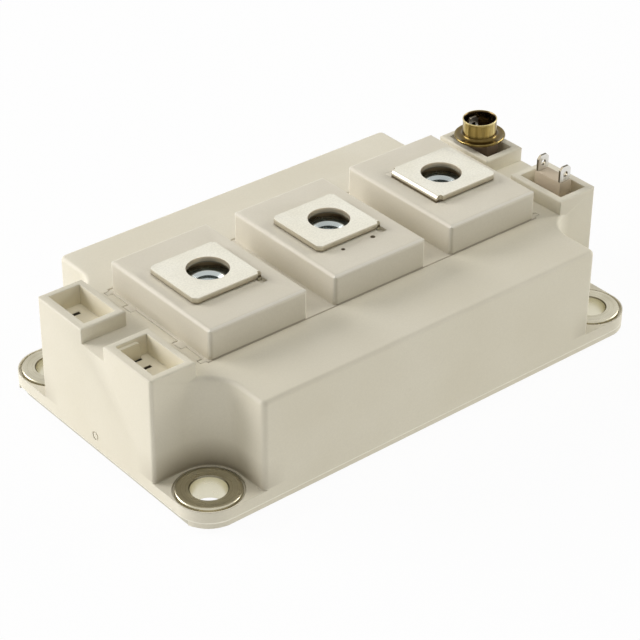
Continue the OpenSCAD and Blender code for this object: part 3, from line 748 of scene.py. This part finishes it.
def lathe_rings(tree, place):
    """Rings round the axis of each bushing, slow clouds, and painted light and shade in the
    bore.
    """
    radius = axis_distance(tree, place, BUSHING_AXIS, True)
    only = tree.nodes.new("ShaderNodeCombineXYZ")
    tree.links.new(radius, only.inputs["X"])
    rings = noise(tree, only.outputs[0], 0.22 * MM, 2)
    clouds = spread(tree, noise(tree, place, 4 * MM, 3), *SWING, 0, 0.5)

    def bore_painted_light_and_shade(tree, colour):
        # painted shade: a dark ring at the mouth of the bore
        mouth_painted_shade = spread(tree, radius, *MOUTH_EDGE, 0.8, 0)
        colour = blend_colours(tree, mouth_painted_shade, colour, (0.10, 0.085, 0.05))
        # painted light: a lighter bore wall
        painted_bore_mask = spread(tree, radius, *BORE_WALL, 1, 0)
        return blend_colours(tree, painted_bore_mask, colour, (0.72, 0.685, 0.54))

    amount = combine(tree, "ADD", clouds, spread(tree, rings, 0.35, 0.65, 0, 0.5))
    return amount, rings, bore_painted_light_and_shade


turned_metal("bushing_steel", (0.66, 0.62, 0.49), (0.43, 0.395, 0.285), 0.3, 0.07,
             lathe_rings, 0.02 * MM)
print(f"bushing bores shine inside a radius of {BORE_WALL[0] / MM:.2f} mm")

# %% [markdown]
# ### Brass that leans
# The sleeve stands a little askew, and its marks have to lean with it. A Mapping node of
# the type TEXTURE first undoes the lean and the shift. What is left are the sleeve's own
# coordinates, with its axis upright and its foot at zero.

# %% Where the sleeve stands
SLEEVE_TILT = 2.0
SLEEVE_SHIFT = 0.22
sleeve_low, sleeve_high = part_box("shorting_sleeve")
SLEEVE_FOOT = Vector(((sleeve_low.x + sleeve_high.x) / 2, (sleeve_low.y + sleeve_high.y) / 2,
                      sleeve_low.z))
LEAN_TOWARDS = Vector((-0.767, 0.641, 0))
SLEEVE_LEAN = Matrix.Rotation(math.radians(SLEEVE_TILT), 4,
                              Vector((0, 0, 1)).cross(LEAN_TOWARDS))
SLEEVE_PLACE = Matrix.Translation(
    SLEEVE_FOOT + LEAN_TOWARDS * SLEEVE_SHIFT * MM) @ SLEEVE_LEAN
print(f"the sleeve leans {SLEEVE_TILT} degrees")

# %% Brass finish
ROOT_TOP = (0.9 * MM, 1.5 * MM)
ROOT_REACH = (4.4 * MM, 5.0 * MM)
FLANGE_TOP = (0.6 * MM, 0.9 * MM)
TUBE_FACE = (3.6 * MM, 4.0 * MM)
HIGHLIGHT_FROM = (3.6 * MM, 3.8 * MM)
SLEEVE_BORE = (3.22 * MM, 3.36 * MM)


def drawn_streaks(tree, place):
    """Streaks along the tube, painted shade on its root, flange and bore, and a painted
    highlight above.
    """
    upright = tree.nodes.new("ShaderNodeMapping")
    upright.vector_type = "TEXTURE"
    upright.inputs["Location"].default_value = SLEEVE_PLACE.translation
    upright.inputs["Rotation"].default_value = SLEEVE_PLACE.to_euler()
    tree.links.new(place, upright.inputs["Vector"])
    own = upright.outputs[0]
    streaks = noise(tree, own, 1.1 * MM, 2, (1, 1, 25))
    radius = axis_distance(tree, own, (0, 0))
    split = tree.nodes.new("ShaderNodeSeparateXYZ")
    tree.links.new(own, split.inputs[0])
    height = split.outputs["Z"]

    def sleeve_painted_light(tree, colour):
        # painted shade at the root of the tube
        root = both(tree, spread(tree, height, *ROOT_TOP, 0.92, 0),
                    spread(tree, radius, *ROOT_REACH, 1, 0.1))
        colour = blend_colours(tree, root, colour, (0.09, 0.06, 0.018))
        # painted shade on the flange's top, for a dark reflection
        flange_painted_shade = both(tree, spread(tree, height, *FLANGE_TOP, 0.75, 0),
                      spread(tree, radius, *TUBE_FACE, 0, 1))
        colour = blend_colours(tree, flange_painted_shade, colour, (0.13, 0.092, 0.03))
        # painted highlight on the upper tube
        upper_painted_highlight = spread(tree, height, *HIGHLIGHT_FROM, 0, 0.8)
        colour = blend_colours(tree, upper_painted_highlight, colour, (0.72, 0.60, 0.30))
        # painted shade inside the sleeve's bore
        painted_bore_mask = spread(tree, radius, *SLEEVE_BORE, 1, 0)
        return blend_colours(tree, painted_bore_mask, colour, (0.085, 0.055, 0.024))

    return spread(tree, streaks, 0.36, 0.64, 0, 1), streaks, sleeve_painted_light


turned_metal("sleeve_brass", (0.62, 0.49, 0.20), (0.25, 0.18, 0.055), 0.2, 0.06,
             drawn_streaks, 0.006 * MM)
print(f"turned and drawn: {', '.join(list(finish)[-2:])}")

# %% [markdown]
# ### What the closed case holds
# The ceramic, the chips and the gel are never in sight while the case is shut, but
# whoever opens it finds them finished too. Ceramic is a matt white with a fine grain, a
# chip is dark and glossy with its grid of cells, and the gel is clear with a faint haze.

# %% Ceramic, silicon and gel
tree, shader, place = new_finish("substrate_white", 0.0)
grain = noise(tree, place, 0.2 * MM, 3)
tree.links.new(blend_colours(tree, grain, (0.84, 0.83, 0.80), (0.76, 0.75, 0.71)),
               shader.inputs["Base Color"])
tree.links.new(spread(tree, grain, *SWING, 0.5, 0.65), shader.inputs["Roughness"])
add_bump(tree, shader, grain, 0.01 * MM, 0.4)

tree, shader, place = new_finish("silicon", 0.6)
cells = tree.nodes.new("ShaderNodeTexBrick")
cells.inputs["Scale"].default_value = 900
cells.inputs["Color1"].default_value = (0.16, 0.17, 0.20, 1)
cells.inputs["Color2"].default_value = (0.20, 0.21, 0.24, 1)
cells.inputs["Mortar"].default_value = (0.34, 0.33, 0.31, 1)
cells.offset = 0
tree.links.new(place, cells.inputs["Vector"])
tree.links.new(cells.outputs["Color"], shader.inputs["Base Color"])
tree.links.new(spread(tree, noise(tree, place, 2 * MM), *SWING, 0.18, 0.28),
               shader.inputs["Roughness"])
add_bump(tree, shader, cells.outputs["Fac"], 0.01 * MM, 0.3)

tree, shader, place = new_finish("clear_gel", 0.0)
shader.inputs["Transmission Weight"].default_value = 0.92
shader.inputs["IOR"].default_value = 1.41
haze = noise(tree, place, 12 * MM, 3)
tree.links.new(blend_colours(tree, haze, (0.96, 0.97, 0.96), (0.90, 0.92, 0.90)),
               shader.inputs["Base Color"])
tree.links.new(spread(tree, haze, *SWING, 0.04, 0.12), shader.inputs["Roughness"])
add_bump(tree, shader, haze, 0.2 * MM, 0.2)
print("inside the case:", ", ".join(list(finish)[-3:]))

# %% [markdown]
# ### Every slot gets its finish
# The record says which material slot each solid carries, and the finishes are filed
# under the slots' names. A solid that is replaced hands its slot to its stand-in.

# %% Finishes onto the solids
slot_of = {part["node"]: part["material_slot"] for part in frame["record"]["subparts"]}
for name, node in nodes.items():
    for place_in_list in node.material_slots:
        place_in_list.material = finish[slot_of[name]]
print(f"{len(finish)} finishes on {len(nodes)} solids")

# %% [markdown]
# ## Rounding what a mould or a punch made
# A mould or a punch leaves every edge round by a tenth or two of a millimetre. Such a
# round catches the light as a bright line, which is most of what makes the part look
# real. The solids have sharp small edges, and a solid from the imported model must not
# change, so a copy of each takes its place. The copy comes as loose triangles: they are
# merged, and the flat faces are joined up. Then the outward edges that are sharp and long
# enough are bevelled. Clamp Overlap stays off, because one tiny edge would then shrink
# the bevel everywhere.

# %% Rounded copies
SAME_POINT = 0.002 * MM


def only_select(piece):
    """Deselects everything, then selects this piece and makes it active."""
    bpy.ops.object.select_all(action="DESELECT")
    piece.select_set(True)
    bpy.context.view_layer.objects.active = piece


def stand_in(node_name):
    """A copy of a solid with its triangles merged and its flat faces joined."""
    only_select(nodes[node_name])
    bpy.ops.object.duplicate()
    piece = bpy.context.object
    piece.name = node_name + "_piece"
    piece.data.name = piece.name
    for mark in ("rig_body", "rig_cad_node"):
        if mark in piece:
            del piece[mark]
    bpy.ops.mesh.customdata_custom_splitnormals_clear()
    bpy.ops.object.mode_set(mode="EDIT")
    bpy.ops.mesh.select_all(action="SELECT")
    bpy.ops.mesh.remove_doubles(threshold=SAME_POINT)
    bpy.ops.mesh.dissolve_limited(angle_limit=math.radians(0.6))
    bpy.ops.object.mode_set(mode="OBJECT")
    return piece


print(f"points nearer than {SAME_POINT / MM} mm are one")

# %% Round and hand over
SHARPER_THAN = 28
SMOOTH_UNDER = 32


def round_edges(piece, width, longer_than, shorter_than=1.0):
    """Rounds the sharp outward edges of a piece whose lengths lie between two limits."""
    only_select(piece)
    bpy.ops.object.mode_set(mode="EDIT")
    bpy.ops.mesh.select_mode(type="EDGE")
    bpy.ops.mesh.select_all(action="DESELECT")
    edit = bmesh.from_edit_mesh(piece.data)
    for edge in edit.edges:
        if (edge.is_manifold and edge.is_convex
                and longer_than <= edge.calc_length() < shorter_than
                and edge.calc_face_angle() > math.radians(SHARPER_THAN)):
            edge.select_set(True)
    bmesh.update_edit_mesh(piece.data)
    bpy.ops.mesh.bevel(offset=width, segments=2, affect="EDGES", clamp_overlap=False)
    bpy.ops.object.mode_set(mode="OBJECT")


def hand_over(piece, *node_names):
    """Shades a finished piece, and puts it in the place of its solids."""
    only_select(piece)
    bpy.ops.object.shade_smooth_by_angle(angle=math.radians(SMOOTH_UNDER))
    slot = slot_of[node_names[0]]
    piece.data.materials.clear()
    piece.data.materials.append(finish[slot])
    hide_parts(*node_names)
    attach(piece, "root")
    print(f"{piece.name}: {len(piece.data.polygons)} faces")


print(f"edges sharper than {SHARPER_THAN} degrees are rounded")

# %% [markdown]
# ### Moulded parts, plate and tabs
# These need no more than their rounds, given in millimetres. Only edges longer than 1.2
# are taken: shorter ones belong to curved walls, and a bevel would break those up. The
# lid waits, because it still gets the steps in its slots.

# %% Round the plain pieces
STRAIGHT = 1.2 * MM
ROUND = {
    "housing": 0.13, "lid": 0.13, "base_plate": 0.13, "tab_holder_1": 0.1,
    "tab_holder_2": 0.1, "signal_tab_1": 0.06, "signal_tab_2": 0.06,
    "signal_tab_3": 0.06, "signal_tab_4": 0.06,
}
for name, width in ROUND.items():
    piece = stand_in(name)
    round_edges(piece, width * MM, STRAIGHT)
    if name == "lid":
        lid_piece = piece
    else:
        hand_over(piece, name)

# %% [markdown]
# ### Terminals
# The strip is bent down over a sharp tool, so the outside of the bend is tighter than an
# easy round, and the relief beside it is a narrow nick. Both are had by picking the
# points of the bend and scaling them by half towards its outer corner: the round keeps
# its tangents and gets half its radius. The cut corners of the free end are made smaller
# in the same way.

# %% Measures of the strips
BEND_SIDE = {"main_terminal_1": 1, "main_terminal_2": 1, "main_terminal_3": -1}
BEND_REACH = 7.0
BEND_ROUND = 1.6
RELIEF_START = 4.78
FREE_REACH = 8.1
FREE_CUT = 1.32
FREE_SCALE = 0.62
PLATE_SIDE = 7.0
PLATE_DEPTH = 1.3
NEAR = 0.01
LONG_EDGE = 0.7 * MM
SHORT_EDGE = 0.25 * MM
PLATE_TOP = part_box("main_terminal_1")[1].z / MM
TERMINAL_MIDDLES = [number * TERMINAL_PITCH / MM for number in (-1, 0, 1)]
print(f"plates {PLATE_TOP:.1f} mm up, at X {TERMINAL_MIDDLES}")

# %% Scale towards a corner
def scale_towards(piece, wanted, corner, factors):
    """Scales the points that the test picks towards a corner."""
    only_select(piece)
    bpy.ops.object.mode_set(mode="EDIT")
    bpy.ops.mesh.select_mode(type="VERT")
    bpy.ops.mesh.select_all(action="DESELECT")
    edit = bmesh.from_edit_mesh(piece.data)
    picked = 0
    for vertex in edit.verts:
        if wanted(vertex.co / MM):
            vertex.select_set(True)
            picked += 1
    edit.select_flush(True)
    bmesh.update_edit_mesh(piece.data)
    bpy.ops.transform.resize(value=factors, center_override=corner)
    bpy.ops.object.mode_set(mode="OBJECT")
    print(f"{piece.name}: {picked} points scaled")


# %% Terminals
for middle, (name, side) in zip(TERMINAL_MIDDLES, BEND_SIDE.items()):
    piece = stand_in(name)
    out_corner = Vector((middle + side * BEND_REACH, 0, PLATE_TOP)) * MM

    def on_outer_round(p):
        x = (p.x - middle) * side - (BEND_REACH - BEND_ROUND)
        z = p.z - (PLATE_TOP - BEND_ROUND)
        return x > -NEAR and z > -NEAR and abs(math.hypot(x, z) - BEND_ROUND) < 2 * NEAR

    scale_towards(piece, on_outer_round, out_corner, (1, 1, 0.5))
    scale_towards(piece, lambda p: (p.x - middle) * side > RELIEF_START
                  and p.z > PLATE_TOP - BEND_ROUND - NEAR, out_corner, (0.5, 1, 1))
    for end in (-1, 1):
        free_corner = Vector((middle - side * FREE_REACH, end * PLATE_SIDE, PLATE_TOP)) * MM
        scale_towards(piece, lambda p: (p.x - middle) * side < FREE_CUT - FREE_REACH
                      and p.y * end > PLATE_SIDE - FREE_CUT
                      and p.z > PLATE_TOP - PLATE_DEPTH,
                      free_corner, (FREE_SCALE, FREE_SCALE, 1))
    round_edges(piece, 0.13 * MM, LONG_EDGE)
    round_edges(piece, 0.07 * MM, SHORT_EDGE, LONG_EDGE)
    hand_over(piece, name)

# %% [markdown]
# ### Steps in the slots
# The slots that the strips come through are stepped at their ends, so that one sees a
# shallow floor there and not down into the case. Each step is a small block with soft
# edges, joined to the lid.

# %% Steps in the slots
STEP_OUT = 6.4
STEP_ALONG = 7.33
STEP_SIZE = (1.5, 1.74, 1.2)
STEP_TOP = {1: 28.4, -1: 29.06}
for middle, side in zip(TERMINAL_MIDDLES, BEND_SIDE.values()):
    for end in (-1, 1):
        bpy.ops.object.select_all(action="DESELECT")
        bpy.ops.mesh.primitive_cube_add(size=MM, location=Vector((
            middle + side * STEP_OUT, end * STEP_ALONG,
            STEP_TOP[side] - STEP_SIZE[2] / 2)) * MM)
        step = bpy.context.object
        step.scale = STEP_SIZE
        bpy.ops.object.transform_apply(location=True, scale=True)
        bpy.ops.object.mode_set(mode="EDIT")
        bpy.ops.mesh.select_all(action="SELECT")
        bpy.ops.mesh.bevel(offset=0.06 * MM, segments=2, affect="EDGES")
        bpy.ops.object.mode_set(mode="OBJECT")
        lid_piece.select_set(True)
        bpy.context.view_layer.objects.active = lid_piece
        bpy.ops.object.join()
hand_over(lid_piece, "lid")

# %% [markdown]
# ## Parts from the lathe
# A turned part is half of its section, spun round its axis. The section is drawn as one
# does by hand: one point, extruded from corner to corner and closed. After the spin its
# first and last copies are merged, and the faces are turned outwards.

# %% Spin a section
TURN_STEPS = 96


def turn_section(name, section, axis):
    """A ring from a closed section of (radius, height) points in millimetres."""
    bpy.ops.object.select_all(action="DESELECT")
    start = Vector((axis[0] + section[0][0] * MM, axis[1], section[0][1] * MM))
    bpy.ops.mesh.primitive_plane_add(size=MM, location=start)
    piece = bpy.context.object
    piece.name = name
    piece.data.name = name
    bpy.ops.object.transform_apply(location=True)
    bpy.ops.object.mode_set(mode="EDIT")
    bpy.ops.mesh.select_mode(type="VERT")
    bpy.ops.mesh.merge(type="CENTER")
    for before, after in zip(section, section[1:]):
        step = ((after[0] - before[0]) * MM, 0, (after[1] - before[1]) * MM)
        bpy.ops.mesh.extrude_vertices_move(TRANSFORM_OT_translate={"value": step})
    bpy.ops.object.mode_set(mode="OBJECT")
    bpy.ops.object.mode_set(mode="EDIT")
    edit = bmesh.from_edit_mesh(piece.data)
    edit.verts.ensure_lookup_table()
    for vertex in edit.verts:
        vertex.select_set(False)
    for vertex in (edit.verts[0], edit.verts[-1]):
        vertex.select_set(True)
    edit.select_flush(True)
    bmesh.update_edit_mesh(piece.data)
    bpy.ops.mesh.edge_face_add()
    bpy.ops.mesh.select_all(action="SELECT")
    bpy.ops.mesh.spin(steps=TURN_STEPS, angle=2 * math.pi,
                      center=(axis[0], axis[1], 0), axis=(0, 0, 1))
    bpy.ops.mesh.select_all(action="SELECT")
    bpy.ops.mesh.remove_doubles(threshold=SAME_POINT)
    bpy.ops.mesh.normals_make_consistent(inside=False)
    bpy.ops.object.mode_set(mode="OBJECT")
    return piece


print(f"each ring takes {TURN_STEPS} steps")

# %% [markdown]
# ### Mounting bushings
# A steel flange with a thin chamfer, a stem that sits in the ear, and a bore whose mouth
# is opened so that the screw finds it. The top is turned very slightly hollow, so that
# it bears on its rim.

# %% Section of a bushing
BUSHING_TOP = bushing_high.z / MM
BUSHING_FOOT = bushing_low.z / MM
FLANGE_RADIUS = (bushing_high.x - bushing_low.x) / 2 / MM
SEAT = 3.7
BORE_RADIUS = 3.2
TAIL_RADIUS = 3.24
TAIL_FOOT = 0.06
STEM_RADIUS = 4.5
RING_RADIUS = FLANGE_RADIUS - 0.02
MOUTH_RADIUS = BORE_RADIUS + 0.34
bushing_section = [
    (BORE_RADIUS, TAIL_FOOT), (TAIL_RADIUS, TAIL_FOOT), (TAIL_RADIUS, BUSHING_FOOT),
    (STEM_RADIUS - 0.2, BUSHING_FOOT), (STEM_RADIUS, BUSHING_FOOT + 0.2),
    (STEM_RADIUS, SEAT), (RING_RADIUS - 0.08, SEAT), (RING_RADIUS, SEAT + 0.08),
    (RING_RADIUS, BUSHING_TOP - 0.2), (RING_RADIUS - 0.05, BUSHING_TOP - 0.12),
    (RING_RADIUS - 0.17, BUSHING_TOP - 0.02), (RING_RADIUS - 0.24, BUSHING_TOP),
    (RING_RADIUS - 0.7, BUSHING_TOP), (RING_RADIUS - 0.8, BUSHING_TOP - 0.04),
    (MOUTH_RADIUS + 0.02, BUSHING_TOP - 0.04), (MOUTH_RADIUS, BUSHING_TOP - 0.06),
    (MOUTH_RADIUS - 0.2, BUSHING_TOP - 0.26), (BORE_RADIUS, BUSHING_FOOT + 0.1),
]
print(f"a bushing's section has {len(bushing_section)} corners")

# %% Bushings
for number in (1, 2, 3, 4):
    name = f"mounting_bushing_{number}"
    low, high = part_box(name)
    middle = (low + high) / 2
    axis = (math.copysign(BUSHING_AXIS.x, middle.x),
            math.copysign(BUSHING_AXIS.y, middle.y))
    piece = turn_section(name + "_piece", bushing_section, axis)
    hand_over(piece, name)

# %% [markdown]
# ### Captive nuts
# Each terminal stands over a six-sided M6 nut that lies loose in its pocket, and the nut
# shows through the terminal's hole as a bright ring with dark threads under it. A thread
# is a helix, but down a short bore a pile of rings looks the same, and rings come free
# with the spin. So the nut is turned as a round first, thread and chamfers included, and
# six bisects then cut its flats. Running through the chamfers, the cuts leave the curved
# corners of a real nut.

# %% Section of a nut
THREAD_CREST = 2.5
THREAD_ROOT = 2.98
THREAD_STEP = 1.0
THREAD_START = 0.55
MOUTH = 3.12
CHAMFER_IN = 0.75
CHAMFER_DOWN = 0.43

nut_low, nut_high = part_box("terminal_nut_1")
across = [(nut_high[i] - nut_low[i]) / MM for i in (0, 1)]
across_flats, across_corners = min(across), max(across)
first_flat = 90 if across[1] < across[0] else 0
foot, top = nut_low.z / MM, nut_high.z / MM
corner = across_corners / 2 + 0.05
print(f"nut {across_flats:.1f} mm over the flats, {top - foot:.1f} mm high")

nut_section = [(MOUTH, foot), (corner - CHAMFER_IN, foot), (corner, foot + CHAMFER_DOWN),
               (corner, top - CHAMFER_DOWN), (corner - CHAMFER_IN, top),
               (MOUTH + 0.05, top), (MOUTH, top - 0.03)]
height = top - THREAD_START
while height - THREAD_STEP > foot + 0.3:
    nut_section += [(THREAD_CREST, height), (THREAD_CREST, height - 0.14),
                    (THREAD_ROOT, height - 0.5), (THREAD_ROOT, height - 0.62)]
    height -= THREAD_STEP
nut_section += [(THREAD_CREST, height), (THREAD_CREST, foot + THREAD_START)]
print(f"a nut's section has {len(nut_section)} corners")

# %% Nuts
def cut_flats(piece, middle, distance, sides, first):
    """Cuts flats all round a turned piece at this distance from its axis."""
    only_select(piece)
    bpy.ops.object.mode_set(mode="EDIT")
    for side in range(sides):
        angle = math.radians(first + side * 360 / sides)
        outward = Vector((math.cos(angle), math.sin(angle), 0))
        bpy.ops.mesh.select_all(action="SELECT")
        bpy.ops.mesh.bisect(plane_co=middle + outward * distance, plane_no=outward,
                            use_fill=True, clear_outer=True, threshold=0.00001 * MM)
    bpy.ops.object.mode_set(mode="OBJECT")


for number in (1, 2, 3):
    name = f"terminal_nut_{number}"
    low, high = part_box(name)
    middle = (low + high) / 2
    piece = turn_section(name + "_piece", nut_section, middle)
    cut_flats(piece, middle, across_flats / 2 * MM, 6, first_flat)
    hand_over(piece, name)

# %% [markdown]
# ### The shorting sleeve
# A drawn brass tube with a flange, pushed over the far pair of tabs to keep them shorted
# in store. Drawing leaves a rolled lip at the mouth, a soft root where the tube meets the
# flange, and a bead round the flange. It is pressed on by hand, so it is turned upright,
# tipped about its foot, and made shorter by what the tip adds.

# %% Sleeve
tube_top = (sleeve_high.z - sleeve_low.z) / MM - 0.12
sleeve_section = [
    (3.12, 0.1), (3.22, -0.05), (4.9, -0.05), (5.08, 0.0), (5.15, 0.15), (5.13, 0.33),
    (5.02, 0.45), (4.84, 0.46), (4.7, 0.4), (4.1, 0.36), (3.85, 0.4), (3.62, 0.5),
    (3.46, 0.68), (3.4, 0.95), (3.4, tube_top - 0.6), (3.4, tube_top - 0.5),
    (3.45, tube_top - 0.34), (3.48, tube_top - 0.2), (3.46, tube_top - 0.07),
    (3.37, tube_top), (3.26, tube_top - 0.03), (3.16, tube_top - 0.14),
    (3.12, tube_top - 0.35),
]
piece = turn_section("shorting_sleeve_piece", sleeve_section, (0, 0))
piece.matrix_world = SLEEVE_PLACE
only_select(piece)
bpy.ops.object.transform_apply(location=True, rotation=True)
hand_over(piece, "shorting_sleeve")
